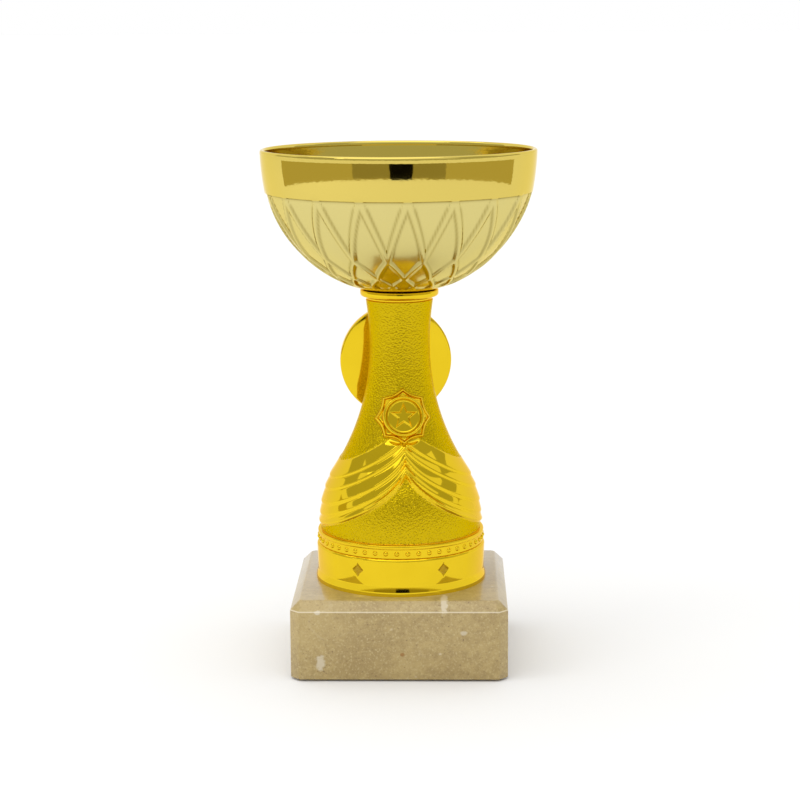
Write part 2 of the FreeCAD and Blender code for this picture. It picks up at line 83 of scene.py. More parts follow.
def card(name, radius, first, last, low, high, brightness, droop=0.0, rise=0.0, corner=0.0,
         tone=(1.0, 0.88, 0.40)):
    """A bent card round the trophy, from one azimuth to another, seen only in reflections.

    Towards both ends its lower edge drops by the droop and its upper edge climbs by the rise.
    Its lower corners are rounded to the corner radius.
    """
    bpy.ops.object.select_all(action="DESELECT")
    middle, height = (low + high) / 2, high - low
    bpy.ops.mesh.primitive_cylinder_add(vertices=720, radius=radius, depth=height,
                                        end_fill_type="NOTHING", location=(0, 0, middle))
    made = bpy.context.object
    made.name = name
    bpy.ops.object.mode_set(mode="EDIT")
    bpy.ops.mesh.select_mode(type="VERT")
    bpy.ops.mesh.select_all(action="DESELECT")
    bpy.ops.object.mode_set(mode="OBJECT")
    for vertex in made.data.vertices:
        azimuth = math.degrees(math.atan2(vertex.co.x, -vertex.co.y))
        vertex.select = not first - 0.1 <= azimuth <= last + 0.1
    bpy.ops.object.mode_set(mode="EDIT")
    bpy.ops.mesh.delete(type="VERT")
    bpy.ops.object.mode_set(mode="OBJECT")
    for vertex in made.data.vertices:
        azimuth = math.degrees(math.atan2(vertex.co.x, -vertex.co.y))
        from_end = math.radians(min(azimuth - first, last - azimuth)) * radius
        if vertex.co.z < 0 and from_end < corner:
            short = corner - max(from_end, 0)
            vertex.co.z += corner - math.sqrt(max(corner ** 2 - short ** 2, 0))
        vertex.co.z += (rise if vertex.co.z > 0 else -droop) * (azimuth / last) ** 2
    glow = bpy.data.materials.new(name)
    glow.use_nodes = True
    shader = glow.node_tree.nodes["Principled BSDF"]
    shader.inputs["Base Color"].default_value = (0, 0, 0, 1)
    shader.inputs["Specular IOR Level"].default_value = 0
    shader.inputs["Emission Color"].default_value = (*tone, 1)
    shader.inputs["Emission Strength"].default_value = brightness
    made.data.materials.append(glow)
    made.visible_camera = made.visible_diffuse = made.visible_shadow = False
    made.visible_transmission = made.visible_volume_scatter = False


PALE_TONE = (1.0, 1.0, 0.8)
card("front_opening", 0.260, -104, 104, 0.0805, 0.1180, 0.585, droop=-0.0055, rise=0.0055)
card("front_shade", 0.255, -34, 37.5, 0.0840, 0.1175, 0.35, corner=0.004)
card("front_lens", 0.250, -5.5, 12, 0.0825, 0.1170, 0.004, corner=0.007)
card("high_opening", 0.260, -112.5, 112.5, 0.150, 0.240, 0.52, tone=PALE_TONE)
card("upper_left", 0.265, -90, -51, 0.240, 0.470, 0.52, tone=PALE_TONE)
card("upper_right", 0.265, 51, 90, 0.240, 0.470, 0.52, tone=PALE_TONE)

LAMP_PLACE, LAMP_AIM = Vector((-0.9, -0.45, 0.7)), Vector((0, 0, 0.06))
bpy.ops.object.light_add(type="AREA", location=LAMP_PLACE)
lamp = bpy.context.object
lamp.name = "soft_box_left"
lamp.data.energy = 1.4
lamp.data.shape = "DISK"
lamp.data.size = 0.6
lamp.rotation_euler = (LAMP_AIM - LAMP_PLACE).to_track_quat("-Z", "Y").to_euler()

bpy.ops.object.light_add(type="SUN", location=(0, 0, 1),
                         rotation=(math.radians(8), math.radians(-14), 0))
ceiling = bpy.context.object
ceiling.name = "ceiling_light"
ceiling.data.energy = 0.75
ceiling.data.angle = math.radians(70)

# ---------------------------------------------------------------- camera
# A little above the rim and about 0.6 m away, looking slightly down at the middle of the
# trophy through a long lens.
CAMERA_DISTANCE, CAMERA_HEIGHT, CAMERA_LENS = 0.5955, 0.1860, 92.54
CAMERA_AZIMUTH, CAMERA_PITCH, CAMERA_ROLL = 1.35, 10.44, 0.35
camera_data = bpy.data.cameras.new("camera")
camera_data.sensor_width = 36
camera_data.lens = CAMERA_LENS
camera = bpy.data.objects.new("camera", camera_data)
scene.collection.objects.link(camera)
turn = math.radians(CAMERA_AZIMUTH)
camera.matrix_world = (
    Matrix.Translation((CAMERA_DISTANCE * math.sin(turn), -CAMERA_DISTANCE * math.cos(turn),
                        CAMERA_HEIGHT))
    @ Matrix.Rotation(turn, 4, "Z")
    @ Matrix.Rotation(math.radians(90 - CAMERA_PITCH), 4, "X")
    @ Matrix.Rotation(math.radians(-CAMERA_ROLL), 4, "Z"))
scene.camera = camera

# ---------------------------------------------------------------- pad
# Thin black foam stuck under the marble so that it doesn't scratch the shelf.  It is die cut
# from sheet, so its edge is square and its cells are open at the cut.


class Wire:
    """One output of a material's nodes.  Sums written on it add Math nodes."""

    def __init__(self, tree, socket):
        self.tree, self.socket = tree, socket

    def node(self, kind, settings=None, inputs=None, output=0):
        """Any other node: its type, its settings, and the values or wires of its sockets."""
        made = self.tree.nodes.new("ShaderNode" + kind)
        for name, value in (settings or {}).items():
            if name == "stops":
                ramp = made.color_ramp
                while len(ramp.elements) < len(value):
                    ramp.elements.new(1.0)
                for element, (position, colour) in zip(ramp.elements, value):
                    element.position, element.color = position, (*colour, 1)
            else:
                setattr(made, name, value)
        for name, value in (inputs or {}).items():
            if isinstance(value, Wire):
                self.tree.links.new(value.socket, made.inputs[name])
            else:
                made.inputs[name].default_value = value
        return Wire(self.tree, made.outputs[output])

    def math(self, operation, *values):
        return self.node("Math", {"operation": operation}, dict(enumerate(values)))

    def __add__(self, other):
        return self.math("ADD", self, other)

    def __sub__(self, other):
        return self.math("SUBTRACT", self, other)

    def __mul__(self, other):
        return self.math("MULTIPLY", self, other)

    def __rsub__(self, other):
        return self.math("SUBTRACT", other, self)

    __radd__, __rmul__ = __add__, __mul__

    def ramp(self, low, high):
        """0 below low and 1 above high, smooth between."""
        return self.node("MapRange", {"interpolation_type": "SMOOTHSTEP"},
                         {"Value": self, "From Min": low, "From Max": high})

    def noise(self, scale, detail=2.0, roughness=0.5):
        return self.node("TexNoise", None, {"Vector": self, "Scale": scale, "Detail": detail,
                                            "Roughness": roughness})

    def tint(self, first, second):
        """The first colour where this is 0 and the second where it is 1."""
        made = self.tree.nodes.new("ShaderNodeMix")
        made.data_type = "RGBA"
        self.tree.links.new(self.socket, made.inputs["Factor"])
        for index, value in ((6, first), (7, second)):
            if isinstance(value, Wire):
                self.tree.links.new(value.socket, made.inputs[index])
            else:
                made.inputs[index].default_value = (*value, 1)
        return Wire(self.tree, made.outputs[2])

    def attribute(self, name):
        return self.node("Attribute", {"attribute_name": name}, output=2)

    def bump(self, distance, strength=1.0):
        return self.node("Bump", None, {"Height": self, "Distance": distance, "Strength": strength})


def finish_of(name, **constants):
    """A new material, its place wire, and a call that sets or links sockets of its shader."""
    material = bpy.data.materials.new(name)
    material.use_nodes = True
    tree = material.node_tree
    shader = tree.nodes["Principled BSDF"]
    place = Wire(tree, tree.nodes.new("ShaderNodeTexCoord").outputs["Object"])

    def put(sockets):
        for socket, value in sockets.items():
            if isinstance(value, Wire):
                tree.links.new(value.socket, shader.inputs[socket])
            else:
                is_colour = isinstance(value, tuple)
                shader.inputs[socket].default_value = (*value, 1) if is_colour else value

    put({socket.replace("_", " "): value for socket, value in constants.items()})
    return material, place, put


foam, place, put = finish_of("closed_cell_foam", Roughness=0.95)
cells = place.noise(2600, 3)
put({"Base Color": cells.tint((0.012, 0.012, 0.013), (0.045, 0.045, 0.05)),
     "Normal": cells.bump(0.0001)})
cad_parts["base_pad"].data.materials.clear()
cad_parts["base_pad"].data.materials.append(foam)

# ---------------------------------------------------------------- marble block
# A sawn and polished block of beige fossil marble.  Its top edges are ground to a wide bevel, its
# upright corners to a narrow chamfer, and it is drilled from below for the rod and its nut.
MARBLE_BEVEL, MARBLE_CORNER, MARBLE_ARRIS = 2.75 * MM, 2.6 * MM, 0.22 * MM
# Width of the painted highlight line along the lower edge of the top bevel.
ARRIS_HIGHLIGHT_WIDTH = 0.5 * MM
RECESS_RADIUS, RECESS_DEPTH, ROD_HOLE = 10 * MM, 9 * MM, 3 * MM


def select_edges(piece, test):
    """Selects the edges whose two end points both pass the test, in edit mode."""
    bpy.ops.mesh.select_mode(type="EDGE")
    bpy.ops.mesh.select_all(action="DESELECT")
    bpy.ops.object.mode_set(mode="OBJECT")
    points = piece.data.vertices
    for edge in piece.data.edges:
        edge.select = test(points[edge.vertices[0]].co, points[edge.vertices[1]].co)
    bpy.ops.object.mode_set(mode="EDIT")


def finish_modifier(piece, kind, **settings):
    """Adds one modifier and applies it."""
    bpy.context.view_layer.objects.active = piece
    modifier = piece.modifiers.new(kind.lower(), kind)
    for name, value in settings.items():
        setattr(modifier, name, value)
    bpy.ops.object.modifier_apply(modifier=modifier.name)


def settle(piece, degrees=35):
    """Puts the piece's place into its mesh and smooths its round parts."""
    bpy.ops.object.select_all(action="DESELECT")
    piece.select_set(True)
    bpy.context.view_layer.objects.active = piece
    bpy.ops.object.transform_apply(location=True, rotation=True, scale=True)
    bpy.ops.object.shade_smooth_by_angle(angle=math.radians(degrees))


def hand_over(piece, slot, *nodes):
    """Hides the CAD parts of the nodes that the piece stands for, and hangs it on the one body."""
    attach(piece, "root")
    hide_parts(*nodes)


def drill(piece, radius, low, high, sides=96):
    """Takes an upright round hole out of the piece."""
    bpy.ops.object.select_all(action="DESELECT")
    bpy.ops.mesh.primitive_cylinder_add(vertices=sides, radius=radius, depth=high - low,
                                        location=(0, 0, (low + high) / 2))
    cutter = bpy.context.object
    finish_modifier(piece, "BOOLEAN", operation="DIFFERENCE", object=cutter, solver="EXACT")
    bpy.data.objects.remove(cutter)


low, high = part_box("marble_base")
size = high - low
bpy.ops.object.select_all(action="DESELECT")
bpy.ops.mesh.primitive_cube_add(size=1, location=(low + high) / 2, scale=size)
marble_block = bpy.context.object
marble_block.name = "marble_block"
bpy.ops.object.transform_apply(location=True, rotation=True, scale=True)
bpy.ops.object.mode_set(mode="EDIT")
select_edges(marble_block, lambda a, b: abs(a.z - b.z) > size.z / 2)
bpy.ops.mesh.bevel(offset=MARBLE_CORNER, offset_type="OFFSET", segments=1)
select_edges(marble_block, lambda a, b: min(a.z, b.z) > high.z - MM)
bpy.ops.mesh.bevel(offset=MARBLE_BEVEL, offset_type="OFFSET", segments=1)
bpy.ops.object.mode_set(mode="OBJECT")
drill(marble_block, RECESS_RADIUS, low.z - MM, low.z + RECESS_DEPTH)
drill(marble_block, ROD_HOLE, low.z, high.z + MM, 48)
finish_modifier(marble_block, "BEVEL", width=MARBLE_ARRIS, segments=2, limit_method="ANGLE",
                angle_limit=math.radians(30))
settle(marble_block, 20)

marble, place, put = finish_of("fossil_marble", Coat_Roughness=0.04, Coat_IOR=1.5)


def blot(place, centre, reach, ragged):
    """1 inside a ragged oval, fading to 0 at its edge."""
    offset = place.node("VectorMath", {"operation": "SUBTRACT"}, {0: place, 1: centre})
    scaled = offset.node("VectorMath", {"operation": "DIVIDE"}, {0: offset, 1: reach})
    length = scaled.node("VectorMath", {"operation": "LENGTH"}, {0: scaled}, output=1)
    return 1 - (length + ragged).ramp(0.55, 1.10)


cloud = place.noise(55, 4)
speck = place.noise(1500, 3, 0.7)
grit = place.noise(520, 2)
colour = (cloud * 0.55 + grit * 0.45).ramp(0.36, 0.64).tint((0.325, 0.226, 0.076),
                                                            (0.420, 0.306, 0.112))
colour = speck.ramp(0.50, 0.74).tint(colour, (0.490, 0.385, 0.175))
colour = (1 - speck.ramp(0.28, 0.40)).tint(colour, (0.190, 0.120, 0.045))
shell_cells = place.node("TexVoronoi", {"feature": "F1"},
                         {"Vector": place, "Scale": 210, "Randomness": 1.0})
shells = 1 - (shell_cells + place.noise(900, 2) * 0.16).ramp(0.13, 0.19)
shells = shells * place.noise(70, 1).ramp(0.57, 0.63) * 0.6
colour = shells.tint(colour, (0.60, 0.51, 0.34))
ragged = (place.noise(1000, 4) - 0.5) * 1.3
face, foot = low.y, low.z
spots = (
    ((-0.0225, face, foot + 0.0050), (0.0015, 0.004, 0.0025), (0.54, 0.46, 0.31)),
    ((-0.0232, face, foot + 0.0198), (0.0010, 0.003, 0.0008), (0.56, 0.48, 0.33)),
    ((0.0185, face, foot + 0.0138), (0.0011, 0.003, 0.0007), (0.50, 0.42, 0.27)),
    ((0.0129, face + 0.003, foot + 0.0222), (0.0012, 0.0062, 0.0040), (0.56, 0.47, 0.31)),
    ((0.0010, face, foot + 0.0075), (0.0007, 0.003, 0.0007), (0.30, 0.15, 0.03)),
    ((0.0312, 0.010, foot + 0.0120), (0.003, 0.0040, 0.0016), (0.56, 0.48, 0.33)),
    ((-0.0100, 0.0312, foot + 0.0070), (0.0025, 0.003, 0.0012), (0.56, 0.48, 0.33)),
)
for centre, reach, paint in spots:
    colour = blot(place, centre, reach, ragged).tint(colour, paint)
vein_wave = place.node("TexWave", {"wave_type": "BANDS", "bands_direction": "DIAGONAL"},
                       {"Vector": place, "Scale": 9, "Distortion": 14, "Detail": 3,
                        "Detail Scale": 2.2})
vein = vein_wave.ramp(0.994, 1.0) * place.noise(60, 2).ramp(0.56, 0.66)
colour = (vein * 0.10).tint(colour, (0.62, 0.53, 0.36))
# Painted highlight: a pale line round the block where the top bevel meets the sides, standing in
# for light caught on that edge.
upright = place.node("SeparateXYZ", {}, {0: place}, output=2)
from_highlight_line = (upright - (high.z - MARBLE_BEVEL)) * (1 / ARRIS_HIGHLIGHT_WIDTH)
arris_highlight = (from_highlight_line + 0.5).ramp(0.0, 0.4) * (0.5 - from_highlight_line).ramp(0.0, 0.4)
colour = (arris_highlight * 0.55).tint(colour, (0.86, 0.78, 0.60))
put({"Base Color": colour, "Roughness": 0.28 + speck.ramp(0.30, 0.75) * 0.12, "Coat Weight": 0.50,
     "Normal": speck.bump(0.000012)})
marble_block.data.materials.append(marble)
hand_over(marble_block, "marble", "marble_base")

# ---------------------------------------------------------------- tie rod
# M5 threaded rod cut from stock, bright zinc plated.  It passes through every part of the stack
# and a nut on each end pulls them together.
THREAD_PITCH, THREAD_DEPTH, THREAD_LEAD = 0.8 * MM, 0.43 * MM, 0.5 * MM
THREAD_CREST, THREAD_FLANK = 0.12, 0.76


def read_points(piece):
    points = np.empty(len(piece.data.vertices) * 3)
    piece.data.vertices.foreach_get("co", points)
    return points.reshape(-1, 3)


def write_points(piece, points):
    piece.data.vertices.foreach_set("co", np.asarray(points, dtype=float).ravel())
    piece.data.update()


def chain(name, points):
    """A chain of edges in the XZ plane: a circle with its points moved to the given places.

    It is closed if its last point is its first; otherwise the edge that closes it is taken out.
    """
    closed = points[0] == points[-1]
    points = points[:-1] if closed else points
    bpy.ops.object.select_all(action="DESELECT")
    bpy.ops.mesh.primitive_circle_add(vertices=len(points), radius=MM)
    piece = bpy.context.object
    piece.name = name
    write_points(piece, [(r, 0, z) for r, z in points])
    if not closed:
        bpy.ops.object.mode_set(mode="EDIT")
        bpy.ops.mesh.select_mode(type="EDGE")
        bpy.ops.mesh.select_all(action="DESELECT")
        bpy.ops.object.mode_set(mode="OBJECT")
        ends = {0, len(points) - 1}
        for edge in piece.data.edges:
            edge.select = set(edge.vertices) == ends
        bpy.ops.object.mode_set(mode="EDIT")
        bpy.ops.mesh.delete(type="EDGE")
        bpy.ops.object.mode_set(mode="OBJECT")
    return piece


def spun(name, points, steps=192):
    """A turned piece: a closed or axis-to-axis chain, spun a full turn round Z."""
    piece = chain(name, points)
    finish_modifier(piece, "SCREW", angle=2 * math.pi, steps=steps, render_steps=steps)
    bpy.ops.object.mode_set(mode="EDIT")
    bpy.ops.mesh.select_mode(type="VERT")
    bpy.ops.mesh.select_all(action="SELECT")
    bpy.ops.mesh.remove_doubles(threshold=2e-6)
    bpy.ops.mesh.normals_make_consistent(inside=False)
    bpy.ops.object.mode_set(mode="OBJECT")
    return piece


low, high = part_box("tie_rod")
rod_radius, rings = high.x, round((high.z - low.z) / (THREAD_PITCH / 6))
rod_side = [(rod_radius, low.z + (high.z - low.z) * index / rings) for index in range(rings + 1)]
threaded_rod = spun("threaded_rod", [(0, low.z)] + rod_side + [(0, high.z)], 20)
points = read_points(threaded_rod)
way = np.arctan2(points[:, 1], points[:, 0]) / (2 * math.pi)
height = np.abs(((points[:, 2] / THREAD_PITCH - way) % 1) - 0.5) * 2
cut = np.clip((height - THREAD_CREST) / THREAD_FLANK, 0, 1) * THREAD_DEPTH
lead = np.minimum(points[:, 2] - low.z, high.z - points[:, 2])
cut = np.maximum(cut, np.clip(THREAD_LEAD - lead, 0, THREAD_DEPTH))
outward = np.hypot(points[:, 0], points[:, 1])
points[:, :2] *= np.where(outward > rod_radius / 2, 1 - cut / rod_radius, 1)[:, None]
write_points(threaded_rod, points)
settle(threaded_rod, 30)

zinc, place, put = finish_of("bright_zinc", Metallic=1.0)
haze = place.noise(240, 3)
drag = place.noise(3800, 2)
put({"Base Color": haze.ramp(0.3, 0.7).tint((0.60, 0.62, 0.65), (0.74, 0.74, 0.70)),
     "Roughness": 0.20 + haze * 0.16, "Normal": drag.bump(0.000008)})
threaded_rod.data.materials.append(zinc)
hand_over(threaded_rod, "zinc", "tie_rod")

# ---------------------------------------------------------------- washers and nuts
# A large flat washer spreads the load at each end, a split spring washer keeps the lower nut
# tight, and both nuts are hexagons with their corners turned off at 30 degrees.
WASHER_BORE, WASHER_EASE, SPRING_BORE, NUT_BORE = 2.65 * MM, 0.15 * MM, 2.75 * MM, 2.54 * MM
SPRING_THICK, SPRING_GAP, NUT_FACE = 0.86, math.radians(11), 0.98

for node in ("base_washer", "bowl_washer"):
    low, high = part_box(node)
    outer, inner, ease = high.x, WASHER_BORE, WASHER_EASE
    washer = spun(node + "_turned", [
        (inner, low.z), (outer - ease, low.z), (outer, low.z + ease), (outer, high.z - ease),
        (outer - ease, high.z), (inner + ease, high.z), (inner, high.z - ease), (inner, low.z)], 96)
    settle(washer, 30)
    washer.data.materials.append(zinc)
    hand_over(washer, "zinc", node)

low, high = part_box("base_spring_washer")
spring_outer, spring_inner = max(high.x, high.y), SPRING_BORE
spring_thick = (high.z - low.z) * SPRING_THICK
spring_washer = chain("spring_washer", [
    (spring_inner, low.z), (spring_outer, low.z), (spring_outer, low.z + spring_thick),
    (spring_inner, low.z + spring_thick), (spring_inner, low.z)])
bpy.ops.object.mode_set(mode="EDIT")
bpy.ops.mesh.select_all(action="SELECT")
bpy.ops.mesh.edge_face_add()
bpy.ops.mesh.spin(steps=60, angle=2 * math.pi - SPRING_GAP, center=(0, 0, 0), axis=(0, 0, 1))
bpy.ops.mesh.select_all(action="SELECT")
bpy.ops.mesh.normals_make_consistent(inside=False)
bpy.ops.object.mode_set(mode="OBJECT")
for vertex in spring_washer.data.vertices:
    way = math.atan2(vertex.co.y, vertex.co.x) % (2 * math.pi)
    vertex.co.z += way / (2 * math.pi) * (high.z - low.z - spring_thick)
settle(spring_washer, 30)
spring_washer.data.materials.append(zinc)
hand_over(spring_washer, "zinc", "base_spring_washer")

for node in ("base_nut", "bowl_nut"):
    low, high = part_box(node)
    across = min(high.x - low.x, high.y - low.y)
    nut_turn = math.pi / 6 if high.x - low.x > high.y - low.y else 0
    corner = across / math.sqrt(3)
    chamfer = (corner - across / 2) * math.tan(math.radians(30))
    bpy.ops.object.select_all(action="DESELECT")
    bpy.ops.mesh.primitive_cylinder_add(vertices=6, radius=corner, depth=high.z - low.z,
                                        location=(0, 0, (low.z + high.z) / 2),
                                        rotation=(0, 0, nut_turn))
    nut = bpy.context.object
    nut.name = node + "_hexagon"
    bpy.ops.object.transform_apply(location=True, rotation=True, scale=True)
    rounding = spun("nut_rounding", [
        (0, low.z), (across / 2 * NUT_FACE, low.z), (corner, low.z + chamfer),
        (corner, high.z - chamfer), (across / 2 * NUT_FACE, high.z), (0, high.z)], 72)
    finish_modifier(nut, "BOOLEAN", operation="INTERSECT", object=rounding, solver="EXACT")
    bpy.data.objects.remove(rounding)
    drill(nut, NUT_BORE, low.z - MM, high.z + MM, 48)
    settle(nut, 25)
    nut.data.materials.append(zinc)
    hand_over(nut, "zinc", node)

# ---------------------------------------------------------------- foot ring
# A moulded plastic ring, metallised gold and lacquered.  It carries the riser on a shelf with a
# locating lip, and six small matt diamonds are sunk in its polished wall.
FOOT_TURN = 1.0
FOOT_WALL, FOOT_SHELF, FOOT_ROUND = 2.2 * MM, 2.5 * MM, 0.9 * MM
LIP_OUTER, LIP_INNER, LIP_HEIGHT = 21.4 * MM, 19.4 * MM, 2.0 * MM
DIAMOND_WIDE, DIAMOND_TALL, DIAMOND_DEEP, DIAMOND_LEVEL = 3.5 * MM, 4.0 * MM, 0.25 * MM, 7.15 * MM
WAIST_LEVEL, WAIST_LONG, WAIST_DEEP, WAIST_EASE = 2.9 * MM, 8.0 * MM, 0.50 * MM, 0.20 * MM
FLARE_FOOT, WALL_SKIN, WALL_STEP, DIAMOND_EVERY = 1.1 * MM, 0.9 * MM, 0.2, 60


def arc(centre_r, centre_z, radius, first, last, steps):
    """Points of an arc, from one angle to another in degrees, 0 pointing outwards."""
    return [(centre_r + radius * math.cos(math.radians(first + (last - first) * i / steps)),
             centre_z + radius * math.sin(math.radians(first + (last - first) * i / steps)))
            for i in range(steps + 1)]


def store(piece, name, values):
    """Stores a number at each point under a name, for the piece's finish to read."""
    layer = piece.data.attributes.new(name, "FLOAT", "POINT")
    layer.data.foreach_set("value", np.asarray(values, dtype=np.float32))


def smooth(low_end, high_end, value):
    t = np.clip((value - low_end) / (high_end - low_end), 0, 1)
    return t * t * (3 - 2 * t)


low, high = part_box("foot_ring")
foot_outer = high.x
foot_top = high.z - LIP_HEIGHT
foot_high = foot_top - low.z


def foot_wall_radius(up):
    """The wall draws in a little to a low waist, and flares out again to a plain foot."""
    if up >= WAIST_LEVEL:
        return foot_outer - WAIST_DEEP + WAIST_EASE * min(1.0, (up - WAIST_LEVEL) / WAIST_LONG)
    under = (WAIST_LEVEL - max(up, FLARE_FOOT)) / (WAIST_LEVEL - FLARE_FOOT)
    return foot_outer - WAIST_DEEP * (1 - 0.9 * under - 0.1 * under ** 2)


wall_high = foot_high - FOOT_ROUND
wall_levels = [wall_high - i * WALL_STEP * MM for i in range(1, 51)
               if wall_high > i * WALL_STEP * MM]
round_centre = foot_wall_radius(wall_high) - FOOT_ROUND
foot_piece = spun("foot_ring_moulding", [
    (LIP_INNER, foot_top - FOOT_SHELF), (LIP_INNER, high.z), (LIP_OUTER, high.z),
    (LIP_OUTER, foot_top)]
    + arc(round_centre, foot_top - FOOT_ROUND, FOOT_ROUND, 90, 0, 8)
    + [(foot_wall_radius(up), low.z + up) for up in wall_levels]
    + [(foot_outer, low.z), (foot_outer - FOOT_WALL, low.z),
       (foot_outer - FOOT_WALL, foot_top - FOOT_SHELF), (LIP_INNER, foot_top - FOOT_SHELF)], 720)
points = read_points(foot_piece)
azimuth = np.degrees(np.arctan2(points[:, 0], -points[:, 1])) - FOOT_TURN
radius = np.hypot(points[:, 0], points[:, 1])
from_diamond = np.abs((azimuth % DIAMOND_EVERY) - DIAMOND_EVERY / 2)
across = from_diamond * math.pi / 180 * foot_outer / (DIAMOND_WIDE / 2)
along = np.abs(points[:, 2] - low.z - DIAMOND_LEVEL) / (DIAMOND_TALL / 2)
on_wall = (radius > foot_outer - WALL_SKIN) & (points[:, 2] < foot_top - FOOT_ROUND)
inside = on_wall * (1 - smooth(0.92, 1.06, across ** 0.86 + along ** 0.86))
shrink = 1 - inside * DIAMOND_DEEP / np.maximum(radius, MM)
points[:, 0] *= shrink
points[:, 1] *= shrink
write_points(foot_piece, points)
store(foot_piece, "grain", np.zeros(len(points)))
store(foot_piece, "matt", inside > 0.5)
settle(foot_piece, 40)

riser_gold, place, put = finish_of("metallised_gold", Metallic=1.0, Coat_Roughness=0.05,
                                   Coat_IOR=1.5,
                                   Specular_Tint=(1.0, 0.76, 0.20))
grain = place.attribute("grain")
matt = place.attribute("matt")
pits = place.noise(1900, 1, 0.5)
wear = place.noise(95, 3)
polished_gold = wear.ramp(0.3, 0.7).tint((0.80, 0.56, 0.007), (0.77, 0.535, 0.005))
gold = grain.tint(polished_gold, (0.60, 0.425, 0.005))
put({"Base Color": matt.tint(gold, (0.50, 0.31, 0.006)),
     "Roughness": 0.045 + grain * 0.085 + wear * 0.03 + matt * 0.35,
     "Coat Weight": 0.28 - grain * 0.26,
     "Normal": (pits * grain).bump(0.00026)})
foot_piece.data.materials.append(riser_gold)
hand_over(foot_piece, "riser_gold", "foot_ring")

# ---------------------------------------------------------------- riser
# One hollow plastic moulding, metallised gold.  Its neck and the fields under the wings are
# grained; the collar, the wings and the foot's beads are polished.
RISER_TURN = 6.0
BAND_HIGH, LINE_HIGH, LINE_PROUD = 2.7, 1.2, 0.3
RISER_WALL, RISER_ROOF = 2.0, 3.5
NECK_TOP, COLLAR_RADIUS, COLLAR_HIGH, COLLAR_ROUND, COLLAR_FILLET = 9.5, 11.45, 2.0, 0.95, 0.7
BAND_RADIUS, BELLY_RADIUS, BELLY_LEVEL, BELLY_ARC = 24.3, 23.65, 6.3, 30.9
FLARE = math.radians(28.4)
NECK_RADIUS, NECK_LEVEL, FLARE_ARC, NECK_ARC = 8.8, 58.8, 68.0, 86.0
WINGS_FOOT, WINGS_TOP, NECK_END, MEDAL_LEVEL = 4.2, 37.0, 71.6, 39.2


def riser_radius(up):
    """Radius of the plain body in millimetres, at a height above the riser's foot."""
    up = np.asarray(up, dtype=float)

    def bow(radius, level):
        return np.sqrt(np.maximum(radius ** 2 - (up - level) ** 2, 1))

    belly_end = BELLY_LEVEL + BELLY_ARC * math.sin(FLARE)
    flare_end = NECK_LEVEL - FLARE_ARC * math.sin(FLARE)
    belly = BELLY_RADIUS - BELLY_ARC + bow(BELLY_ARC, BELLY_LEVEL)
    hollow = NECK_RADIUS + FLARE_ARC - bow(FLARE_ARC, NECK_LEVEL)
    neck = NECK_RADIUS + NECK_ARC - bow(NECK_ARC, NECK_LEVEL)
    start = BELLY_RADIUS - BELLY_ARC + BELLY_ARC * math.cos(FLARE)
    end = NECK_RADIUS + FLARE_ARC - FLARE_ARC * math.cos(FLARE)
    straight = start + (end - start) * (up - belly_end) / (flare_end - belly_end)
    return np.select([up <= BELLY_LEVEL, up <= belly_end, up <= flare_end, up <= NECK_LEVEL],
                     [BELLY_RADIUS, belly, straight, hollow], neck)


low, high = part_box("riser")
riser_high = (high.z - low.z) / MM
collar_foot = riser_high - COLLAR_HIGH
profile = [(BAND_RADIUS - RISER_WALL, 0.0), (BAND_RADIUS - 0.15, 0.0), (BAND_RADIUS, 0.15),
           (BAND_RADIUS, BAND_HIGH - 0.05), (BAND_RADIUS, BAND_HIGH)]
profile += [(BAND_RADIUS + (r - BAND_RADIUS) * LINE_PROUD / (LINE_HIGH / 2), z) for r, z in
            arc(BAND_RADIUS, BAND_HIGH + LINE_HIGH / 2, LINE_HIGH / 2, -85, 85, 8)]
profile += [(BELLY_RADIUS, BAND_HIGH + LINE_HIGH)]
profile += [(float(riser_radius(up)), float(up)) for up in np.arange(4.1, WINGS_TOP, 0.22)]
profile += [(float(riser_radius(up)), float(up)) for up in np.arange(37.2, NECK_END, 1.0)]
fillet_foot = collar_foot - COLLAR_FILLET - 0.3
profile += [(float(riser_radius(fillet_foot)), fillet_foot)]
profile += arc(NECK_TOP + COLLAR_FILLET, collar_foot - COLLAR_FILLET, COLLAR_FILLET, 180, 90, 5)
profile += arc(COLLAR_RADIUS - COLLAR_ROUND, collar_foot + COLLAR_ROUND, COLLAR_ROUND, -90, 0, 7)
profile += arc(COLLAR_RADIUS - 0.4, riser_high - 0.4, 0.4, 0, 90, 6)
profile += [(ROD_HOLE / MM, riser_high), (ROD_HOLE / MM, riser_high - RISER_ROOF)]
profile += [(float(riser_radius(up)) - RISER_WALL, float(up)) for up in
            (riser_high - RISER_ROOF, 66, 58.8, 50, 42, 34, 28, 22, 17, 12, 8, 4)]
profile += [(BAND_RADIUS - RISER_WALL, 3.0), (BAND_RADIUS - RISER_WALL, 0.0)]
riser_piece = spun("riser_moulding", [(r * MM, low.z + z * MM) for r, z in profile], 384)

FOLDS = (0.0, 0.29, 0.465, 0.695, 0.87, 1.0)


def wing_edges(front):
    """Top and lower edge of the wings by how far round the side a point is, 0 front, 1 side."""
    top = 35.5 - 7.34 * front - 3.48 * front ** 2
    bottom = 5.8 + 13.9 * (1 - front) + 3.2 * (1 - front) ** 6
    return top, bottom


